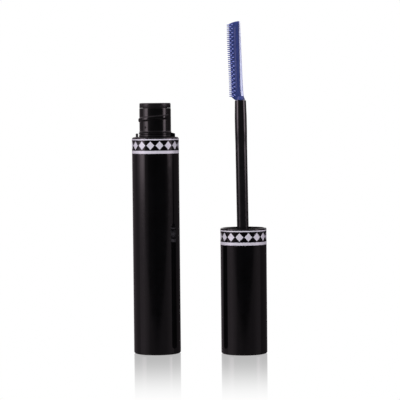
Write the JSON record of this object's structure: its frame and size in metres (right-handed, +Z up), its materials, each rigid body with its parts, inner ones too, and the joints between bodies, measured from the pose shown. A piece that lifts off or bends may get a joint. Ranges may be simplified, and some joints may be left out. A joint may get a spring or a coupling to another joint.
{
  "type": "mascara tube",
  "caption": "Opened mascara tube: slim round gloss black bottle with a threaded neck, beside its upside-down cap with a thin stem and a navy toothed comb.",
  "frame": {"origin": "centre of the bottle's base, on its axis, at the surface that it stands on", "axes": "+Z up along the bottle and the wand, +X from the bottle towards the wand, -Y towards the viewer"},
  "size_m": [0.0506, 0.0211, 0.1255],
  "materials": {
    "gloss_black": "gloss",
    "moulded_black": "satin",
    "soft_black": "matte",
    "mascara": "gloss",
    "navy_plastic": "satin",
    "silver_foil": "satin"
  },
  "bodies": {
    "bottle": {"outer_sleeve": "gloss_black", "inner_bottle": "moulded_black", "wiper": "soft_black", "mascara_formula": "mascara"},
    "gasket": {"cap_gasket": "soft_black"},
    "wand": {"cap_shell": "gloss_black", "inner_cap": "moulded_black", "stem": "moulded_black", "comb": "navy_plastic"}
  },
  "joints": [
    {"name": "wand_lift", "type": "slide", "parent": "bottle", "child": "gasket", "axis": [0, 0, 1], "range_m": [0, 0.092]},
    {"name": "wand_turn", "type": "hinge", "parent": "gasket", "child": "wand", "pos_m": [0.033, -0.0035, 0.034], "axis": [0, 0, 1], "continuous": true}
  ]
}
